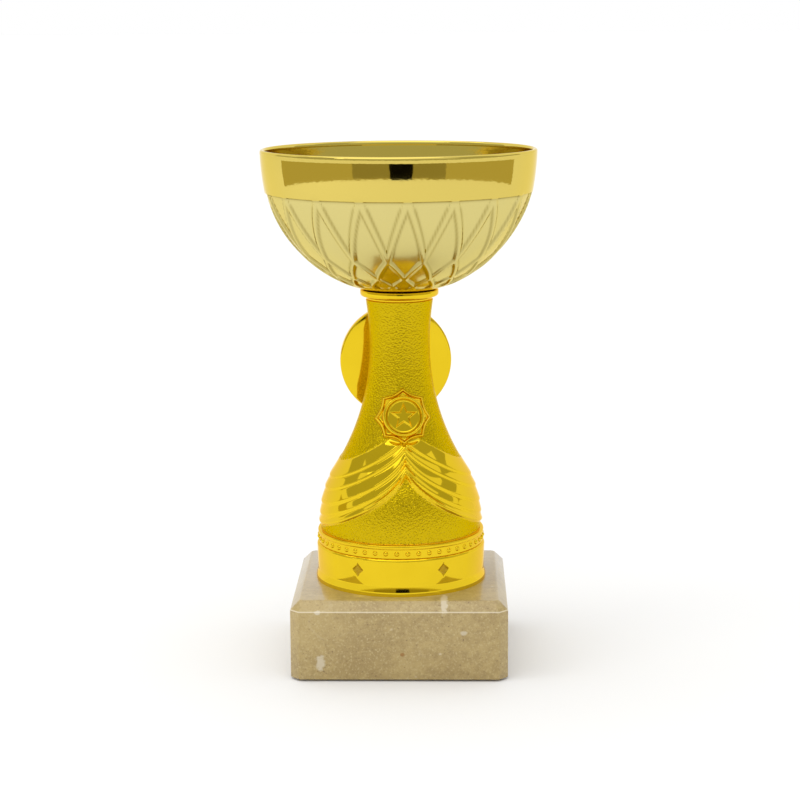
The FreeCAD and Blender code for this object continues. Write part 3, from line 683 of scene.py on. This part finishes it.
points = read_points(riser_piece)
up = (points[:, 2] - low.z) / MM
radius = np.hypot(points[:, 0], points[:, 1]) / MM
azimuth = np.arctan2(points[:, 0], -points[:, 1])
aside = np.abs(np.sin(azimuth))
outside = radius > riser_radius(up) - 0.8
top_edge, bottom_edge = wing_edges(aside)
fraction = (top_edge - up) / (top_edge - bottom_edge)
nudge = 1e-4
top_next, bottom_next = wing_edges(np.abs(np.sin(azimuth + nudge)))
round_way = ((top_next - up) / (top_next - bottom_next) - fraction) / nudge / np.maximum(radius, 1)
steepness = np.hypot(round_way, 1 / (top_edge - bottom_edge))
below = (fraction - 1) / steepness
above = fraction / steepness
relief = np.zeros(len(points))
for first, last in zip(FOLDS, FOLDS[1:]):
    within = (fraction >= first) & (fraction < last)
    to_fold = (last - fraction) / steepness
    along = (fraction - first) / (last - first)
    crest = np.clip(along / 0.86, 0, 1) ** 1.3 * smooth(0.0, 0.75, to_fold)
    relief = np.where(within, crest, relief)
height = 0.30 + 0.75 * (1 - aside) ** 1.5
lift = 0.22 + height * relief * smooth(0, 0.5, above)
lift = lift * smooth(-0.30, 0.10, above) * (1 - smooth(-0.25, 0.25, below))
lift += (0.16 + 0.44 * (1 - aside)) * np.exp(-((below + 0.65) / 0.65) ** 2)
in_wings = outside & (above > -0.1) & (below < 0.2) & (up > 4.0)
keep = outside & (up > WINGS_FOOT) & (up < WINGS_TOP)
lift = np.where(keep, lift, 0)
from_medal = np.hypot(radius * np.sin(azimuth), (up - MEDAL_LEVEL) / math.cos(math.radians(16)))
lift *= np.where(np.cos(azimuth) > 0, smooth(7.6, 8.8, from_medal), 1)
levels = np.linspace(0, 75, 751)
tilt = np.interp(up, levels, np.gradient(riser_radius(levels), 0.1))
out = 1 / np.sqrt(1 + tilt ** 2)
new_radius = radius + lift * out
points[:, 2] += -lift * tilt * out * MM
points[:, 0] = np.sin(azimuth) * new_radius * MM
points[:, 1] = -np.cos(azimuth) * new_radius * MM
write_points(riser_piece, points)
polished = in_wings | (up < 4.15) | (up > collar_foot - COLLAR_FILLET - 0.2)
store(riser_piece, "grain", ~polished)

BEAD_COUNT, BEAD_RADIUS, BEAD_PROUD, BEAD_LEVEL = 48, 0.78, 0.55, 1.5
bead_centre = BAND_RADIUS + BEAD_PROUD - BEAD_RADIUS
bpy.ops.object.select_all(action="DESELECT")
bpy.ops.mesh.primitive_uv_sphere_add(segments=14, ring_count=8, radius=BEAD_RADIUS * MM,
                                     location=(0, -bead_centre * MM, low.z + BEAD_LEVEL * MM))
bead = bpy.context.object
bpy.ops.object.transform_apply(location=True, rotation=True, scale=True)
bpy.ops.object.mode_set(mode="EDIT")
bpy.ops.mesh.select_all(action="SELECT")
bpy.ops.mesh.bisect(plane_co=(0, -(BAND_RADIUS - 0.15) * MM, 0), plane_no=(0, 1, 0),
                    clear_outer=True, use_fill=True)
bpy.ops.object.mode_set(mode="OBJECT")
beads = [bead]
for index in range(1, BEAD_COUNT):
    copy = bead.copy()
    copy.data = bead.data.copy()
    scene.collection.objects.link(copy)
    copy.data.transform(Matrix.Rotation(2 * math.pi * index / BEAD_COUNT, 4, "Z"))
    beads.append(copy)
bpy.ops.object.select_all(action="DESELECT")
for piece in beads:
    piece.select_set(True)
bpy.context.view_layer.objects.active = bead
bpy.ops.object.join()
bead.name = "riser_beads"
store(bead, "grain", np.zeros(len(bead.data.vertices)))

for piece in (riser_piece, bead):
    piece.data.transform(Matrix.Rotation(math.radians(RISER_TURN), 4, "Z"))
    settle(piece, 42)
    piece.data.materials.append(riser_gold)
    hand_over(piece, "riser_gold", "riser")

# ---------------------------------------------------------------- medallion
# Part of the riser's moulding: a flange with eight points that follows the neck, a raised ring
# and a sunk face.  The face carries a plain five-pointed star.
MEDAL_TIP, MEDAL_BITE, RING_OUTER, RING_WIDE, RING_PROUD = 8.4, 1.25, 6.0, 1.0, 1.75
FACE_SUNK, STAR_TIP, STAR_VALLEY, STAR_SLOPE = 0.85, 4.2, 1.75, 0.45
MEDAL_SPOKES, MEDAL_RINGS, RING_REACH, SKIRT_REACH, SKIRT_OUT = 240, 92, 0.72, 1.12, 0.25


def star_height(rho, spoke, tip_radius, valley_radius, slope):
    """A five-pointed star: 1 on top, sloping to 0 at its outline."""
    from_point = np.abs(((spoke + math.pi / 5) % (2 * math.pi / 5)) - math.pi / 5)
    tip = np.array([tip_radius, 0])
    valley = valley_radius * np.array([math.cos(math.pi / 5), math.sin(math.pi / 5)])
    edge = valley - tip
    to_edge = ((rho * np.cos(from_point) - tip[0]) * edge[1]
               - (rho * np.sin(from_point) - tip[1]) * edge[0]) / np.hypot(*edge)
    return np.clip(np.abs(to_edge) / slope, 0, 1) * (to_edge * np.sign(-tip[0] * edge[1]) > 0)


medal_front = float(riser_radius(MEDAL_LEVEL))
medal_tilt = math.asin((NECK_LEVEL - MEDAL_LEVEL) / FLARE_ARC)
bpy.ops.object.select_all(action="DESELECT")
bpy.ops.mesh.primitive_grid_add(x_subdivisions=MEDAL_SPOKES, y_subdivisions=MEDAL_RINGS, size=2)
medallion = bpy.context.object
medallion.name = "riser_medallion"
grid = read_points(medallion)
spoke = (grid[:, 0] + 1) * math.pi
reach = (grid[:, 1] + 1) / 2 * SKIRT_REACH
outline = MEDAL_TIP - MEDAL_BITE * np.abs(np.sin(4 * spoke)) ** 0.8
flange_share = (np.minimum(reach, 1) - RING_REACH) / (1 - RING_REACH)
skirt_share = np.clip((SKIRT_REACH - reach) / (SKIRT_REACH - 1), 0, 1)
rho = np.where(reach < RING_REACH, np.minimum(reach / RING_REACH, 1) * RING_OUTER,
               RING_OUTER + flange_share * (outline + SKIRT_OUT - RING_OUTER))
rho = np.where(reach > 1, (outline + SKIRT_OUT) * skirt_share, rho)
a, b = rho * np.sin(spoke), rho * np.cos(spoke)
normal = np.array([0, -math.cos(medal_tilt), math.sin(medal_tilt)])
upward = np.array([0, math.sin(medal_tilt), math.cos(medal_tilt)])
base = np.array([0, -medal_front, MEDAL_LEVEL])
base = base + a[:, None] * np.array([1, 0, 0]) + b[:, None] * upward
lowest, highest = np.full(len(a), -8.0), np.full(len(a), 3.0)
for _ in range(40):
    middle = (lowest + highest) / 2
    probe = base + middle[:, None] * normal
    within = np.hypot(probe[:, 0], probe[:, 1]) < riser_radius(probe[:, 2])
    lowest, highest = np.where(within, middle, lowest), np.where(within, highest, middle)
skin = (lowest + highest) / 2
share = rho / outline
flange = (skin + 0.42 + 0.78 * np.exp(-((share - 0.92) / 0.055) ** 2)
          - 1.5 * smooth(0.965, 1.03, share))
ring_middle = RING_OUTER - RING_WIDE / 2
crown = 1 - np.clip(np.abs(rho - ring_middle) / (RING_WIDE / 2), 0, 1) ** 2.6
ring_top = RING_PROUD - 0.5 + 0.5 * crown
star = star_height(rho, spoke, STAR_TIP, STAR_VALLEY, STAR_SLOPE)
face_level = RING_PROUD - FACE_SUNK
face = face_level + 0.42 * star + 0.10 * smooth(4.3, 4.6, rho) * (1 - smooth(4.7, 4.9, rho))
ring_inner = RING_OUTER - RING_WIDE
heights = np.where(rho <= ring_inner, face, np.where(rho <= RING_OUTER, ring_top, flange))
blend_in = smooth(ring_inner - 0.12, ring_inner + 0.12, rho)
heights = np.where(rho < RING_OUTER - 0.2, face * (1 - blend_in) + ring_top * blend_in, heights)
heights = np.where(reach > 1, skin - 0.8, heights)
placed = base + heights[:, None] * normal
placed = placed * MM + np.array([0, 0, low.z])
write_points(medallion, placed)
bpy.ops.object.mode_set(mode="EDIT")
bpy.ops.mesh.select_all(action="SELECT")
bpy.ops.mesh.remove_doubles(threshold=3e-6)
bpy.ops.mesh.normals_make_consistent(inside=False)
bpy.ops.object.mode_set(mode="OBJECT")
store(medallion, "grain", np.zeros(len(medallion.data.vertices)))
medallion.data.transform(Matrix.Rotation(math.radians(RISER_TURN), 4, "Z"))
settle(medallion, 50)
medallion.data.materials.append(riser_gold)
hand_over(medallion, "riser_gold", "riser")

# ---------------------------------------------------------------- disc holder, centre disc and dome
# A moulded cup on a peg behind the neck.  Its recess faces back and takes a 25 mm embossed foil
# disc under a clear dome.
HOLDER_RADIUS, RECESS_RIM, RECESS_SUNK, PEG_RADIUS, PEG_LONG = 16.7, 12.7, 1.4, 1.95, 4.4
HOLDER_NEAR, HOLDER_FAR, HOLDER_EASE = 13.7, 16.9, 0.45
DISC_RADIUS, DISC_REACH, DISC_THICK, DISC_RINGS = 12.5, 15.5, 0.5, 90
DISC_STAR_TIP, DISC_STAR_VALLEY, DISC_STAR_SLOPE = 6.4, 2.7, 1.6
DOME_RADIUS, DOME_REACH, DOME_HIGH, DOME_EDGE = 12.1, 16.0, 1.6, 0.3
low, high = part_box("disc_holder")
holder_level = (low.z + high.z) / 2


def face_back(piece):
    """Stands a piece turned round Z up behind the neck, its top looking back."""
    piece.data.transform(Matrix.Rotation(math.radians(RISER_TURN), 4, "Z")
                         @ Matrix.Translation((0, 0, holder_level))
                         @ Matrix.Rotation(math.radians(-90), 4, "X"))


holder = spun("disc_holder_moulding", [(r * MM, z * MM) for r, z in
    [(0, HOLDER_NEAR - PEG_LONG), (PEG_RADIUS, HOLDER_NEAR - PEG_LONG), (PEG_RADIUS, HOLDER_NEAR)]
    + [(HOLDER_RADIUS * k / 6, HOLDER_NEAR) for k in (2, 3, 4, 5)]
    + arc(HOLDER_RADIUS - HOLDER_EASE, HOLDER_NEAR + HOLDER_EASE, HOLDER_EASE, -90, 0, 6)
    + arc(HOLDER_RADIUS - HOLDER_EASE, HOLDER_FAR - HOLDER_EASE, HOLDER_EASE, 0, 90, 6)
    + arc(RECESS_RIM + 0.5, HOLDER_FAR - 0.25, 0.25, 90, 180, 4)
    + [(RECESS_RIM * k, HOLDER_FAR - RECESS_SUNK) for k in (1, 0.5, 0)]], 240)
face_back(holder)
store(holder, "grain", np.zeros(len(holder.data.vertices)))
settle(holder, 40)
holder.data.materials.append(riser_gold)
hand_over(holder, "riser_gold", "disc_holder")

bpy.ops.object.select_all(action="DESELECT")
disc_profile = [(0, DISC_REACH), (DISC_RADIUS, DISC_REACH), (DISC_RADIUS, DISC_REACH + DISC_THICK)]
disc_profile += [(DISC_RADIUS - k * DISC_RADIUS / DISC_RINGS, DISC_REACH + DISC_THICK)
                 for k in range(1, DISC_RINGS + 1)]
centre_disc = spun("centre_disc", [(r * MM, z * MM) for r, z in disc_profile], 320)
points = read_points(centre_disc)
rho = np.hypot(points[:, 0], points[:, 1]) / MM
spoke = np.arctan2(points[:, 0], points[:, 1])
on_face = points[:, 2] > (DISC_REACH + DISC_THICK * 0.6) * MM
star = star_height(rho, spoke, DISC_STAR_TIP, DISC_STAR_VALLEY, DISC_STAR_SLOPE)
rays = 0.05 * np.cos(spoke * 60) * smooth(8.2, 8.6, rho) * (1 - smooth(10.6, 10.9, rho))
rims = np.exp(-((rho - 7.7) / 0.16) ** 2) + np.exp(-((rho - 11.5) / 0.20) ** 2)
relief = -0.20 + 0.18 * star + rays + 0.14 * np.minimum(rims, 1)
points[:, 2] += np.where(on_face, relief * MM, 0)
write_points(centre_disc, points)
store(centre_disc, "stamped", np.where(on_face, np.maximum(star > 0.05, np.minimum(rims, 1)), 0))
face_back(centre_disc)
settle(centre_disc, 40)
foil, place, put = finish_of("embossed_foil", Metallic=1.0)
sheen = place.noise(900, 3)
stamped = place.attribute("stamped")
ground = sheen.tint((0.56, 0.37, 0.075), (0.64, 0.44, 0.10))
put({"Base Color": stamped.tint(ground, (0.92, 0.72, 0.26)),
     "Roughness": 0.30 + sheen * 0.12 - stamped * 0.18,
     "Normal": place.noise(5200, 2).bump(0.000006)})
centre_disc.data.materials.append(foil)
hand_over(centre_disc, "emblem_foil", "emblem_disc")

dome_crown = DOME_HIGH - DOME_EDGE
dome_sphere = (DOME_RADIUS ** 2 + dome_crown ** 2) / (2 * dome_crown)
dome_span = math.degrees(math.asin(DOME_RADIUS / dome_sphere))
dome = spun("clear_dome", [(r * MM, z * MM) for r, z in
    [(0, DOME_REACH), (DOME_RADIUS - 0.1, DOME_REACH), (DOME_RADIUS, DOME_REACH + 0.12)]
    + arc(0, DOME_REACH + DOME_HIGH - dome_sphere, dome_sphere, 90 - dome_span, 90, 14)[:-1]
    + [(0, DOME_REACH + DOME_HIGH)]], 192)
face_back(dome)
settle(dome, 40)
resin, place, put = finish_of("clear_resin", Roughness=0.03, IOR=1.5, Transmission_Weight=1.0)
put({"Base Color": place.noise(60, 2).tint((0.97, 0.97, 0.95), (1.0, 1.0, 1.0)),
     "Normal": place.noise(160, 2).bump(0.00001)})
dome.data.materials.append(resin)
hand_over(dome, "emblem_resin", "emblem_dome")

# ---------------------------------------------------------------- bowl
# Pressed from sheet and plated pale gold: a plain mirror band under a curled rim, and below it
# a lattice of raised straps between flat panels, which shows in reverse inside.
BOWL_TURN, PITCH = 5.0, 20.0
SEAT, SHELL, WALL, STEP, CURL, BAND, BOWL_RADIUS = 10.2, 39.7, 0.6, 0.3, 0.7, 12.2, 40.0
STRAP_PROUD, STRAP_HALF, STRAP_EDGE, PANEL_DEPTH, FIELD_DEPTH = 0.12, 0.80, 0.62, 0.24, 0.34
low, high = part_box("bowl")
bowl_high = (high.z - low.z) / MM
centre_level = math.sqrt(SHELL ** 2 - SEAT ** 2)
shoulder = bowl_high - BAND


def shell_radius(level, sphere):
    return math.sqrt(sphere ** 2 - (centre_level - level) ** 2)


def band_points(foot, top_radius, bottom, top, steps):
    """The band: an arc of twice the bowl's radius between its foot and the rim."""
    chord = math.hypot(top_radius - foot, top - bottom)
    bulge = 2 * BOWL_RADIUS - math.sqrt((2 * BOWL_RADIUS) ** 2 - (chord / 2) ** 2)
    return [(foot + (top_radius - foot) * k / steps + 4 * bulge * (k / steps) * (1 - k / steps),
             bottom + (top - bottom) * k / steps) for k in range(steps + 1)]


first_angle = math.degrees(math.asin(SEAT / SHELL)) - 90
last_angle = math.degrees(math.asin((shoulder - centre_level) / SHELL))
outer_rings = arc(0, centre_level, SHELL, first_angle, last_angle - 0.45, 84)
INSIDE = SHELL - WALL
inner_rings = [(r * INSIDE / SHELL, centre_level + (z - centre_level) * INSIDE / SHELL)
               for r, z in reversed(outer_rings)]
inner_rings = [(r, z) for r, z in inner_rings if z > WALL + 0.05]
band_foot = shell_radius(shoulder, SHELL) + STEP
rim_level, curl_foot = bowl_high - CURL, bowl_high - 2 * CURL
inner_band = band_points(band_foot - WALL, BOWL_RADIUS - WALL, shoulder, curl_foot, 9)
bowl_profile = ([(ROD_HOLE / MM, 0.0)] + outer_rings
                + band_points(band_foot, BOWL_RADIUS, shoulder, rim_level, 9)
                + arc(BOWL_RADIUS - CURL, rim_level, CURL, 0, 180, 10)[1:]
                + [(BOWL_RADIUS - 2 * CURL, curl_foot)]
                + inner_band[::-1] + inner_rings
                + [(math.sqrt(INSIDE ** 2 - (centre_level - WALL) ** 2), WALL),
                   (ROD_HOLE / MM, WALL), (ROD_HOLE / MM, 0.0)])
bowl_piece = spun("pressed_bowl", [(r * MM, low.z + z * MM) for r, z in bowl_profile], 468)

points = read_points(bowl_piece)
level = (points[:, 2] - low.z) / MM
radius = np.hypot(points[:, 0], points[:, 1]) / MM
azimuth = np.degrees(np.arctan2(points[:, 0], -points[:, 1]))
aside = np.abs(((azimuth + PITCH / 2) % PITCH) - PITCH / 2)
away = np.hypot(radius, level - centre_level)
share = SHELL / np.maximum(away, 1)
outer_level = centre_level + (level - centre_level) * share
outer_radius = radius * share
nodes_level = np.array([1.4, 2.5, 5.1, 10.7, shoulder])
nodes_aside = np.array([6.0, 10.0, 0.0, 10.0, 0.0])
path = np.interp(outer_level, nodes_level, nodes_aside)
levels = np.linspace(0, 40, 4001)
run = np.gradient(np.interp(levels, nodes_level, nodes_aside), 0.01)
lean = np.interp(outer_level, levels, run) * math.pi / 180 * outer_radius
rise = np.sqrt(np.maximum(1 - ((outer_level - centre_level) / SHELL) ** 2, 0.02))
off = np.abs(aside - path) * math.pi / 180 * outer_radius / np.sqrt(1 + (lean * rise) ** 2)
wide = np.interp(outer_level, [2, 8, 16, shoulder], [0.48, 0.62, 0.70, 0.92]) * STRAP_HALF / 0.72
strap = 1 - smooth(wide - STRAP_EDGE / 2, wide + STRAP_EDGE / 2, off)
slit = path * math.pi / 180 * outer_radius - wide
strap = np.maximum(strap, (aside < path) * (1 - smooth(0.1, 1.1, slit)) * (outer_level > 11))
panel_half = np.maximum(PITCH / 2 - path, 0.01)
panel = np.where(aside > path, 1 - np.clip((PITCH / 2 - aside) / panel_half, 0, 1) ** 2, 0)
panel *= (outer_level > 10.7) * smooth(0, 3.2, panel_half * math.pi / 180 * outer_radius)
pressed = (np.abs(away - SHELL) < 0.05) | (np.abs(away - INSIDE) < 0.05)
pressed &= (outer_level > 1.3) & (outer_level <= shoulder + 0.02)
fade = smooth(1.3, 2.2, outer_level)
push = STRAP_PROUD * strap - (FIELD_DEPTH + PANEL_DEPTH * panel) * (1 - strap)
push = np.where(pressed, push * fade, 0)
scale = 1 + push / np.maximum(away, 1)
points[:, 0] *= scale
points[:, 1] *= scale
points[:, 2] = (centre_level + (level - centre_level) * scale) * MM + low.z
write_points(bowl_piece, points)
bowl_piece.data.transform(Matrix.Rotation(math.radians(BOWL_TURN), 4, "Z"))
# Painted shade: the plate is darkened in the creases beside the straps and just under the band,
# where shade falls in the pressing.
beside_strap_shade = np.exp(-((off - wide - 0.12) / 0.34) ** 2) * smooth(0.3, 1.0, slit + 0.9)
under_band_shade = np.exp(-((shoulder - 0.30 - outer_level) / 0.34) ** 2) * (1 - 0.6 * strap)
crease = np.maximum(beside_strap_shade * 0.75, under_band_shade) * pressed
store(bowl_piece, "pressed", pressed)
store(bowl_piece, "crease", crease)
settle(bowl_piece, 48)

bowl_gold, place, put = finish_of("pale_gold_plate", Metallic=1.0, Specular_Tint=(1.0, 0.90, 0.55))
relief = place.attribute("pressed")
mist = place.noise(130, 3)
crease = place.attribute("crease")
plate = relief.tint((0.70, 0.55, 0.125), (0.67, 0.575, 0.215))
# The crease mask paints shade into the plate's colour, darkening it towards a dark brown.
put({"Base Color": (crease * 0.8).tint(plate, (0.27, 0.20, 0.035)),
     "Roughness": 0.035 + relief * 0.10 + mist * 0.03,
     "Normal": place.noise(700, 2).bump(0.000007)})
bowl_piece.data.materials.append(bowl_gold)
hand_over(bowl_piece, "bowl_gold", "bowl")
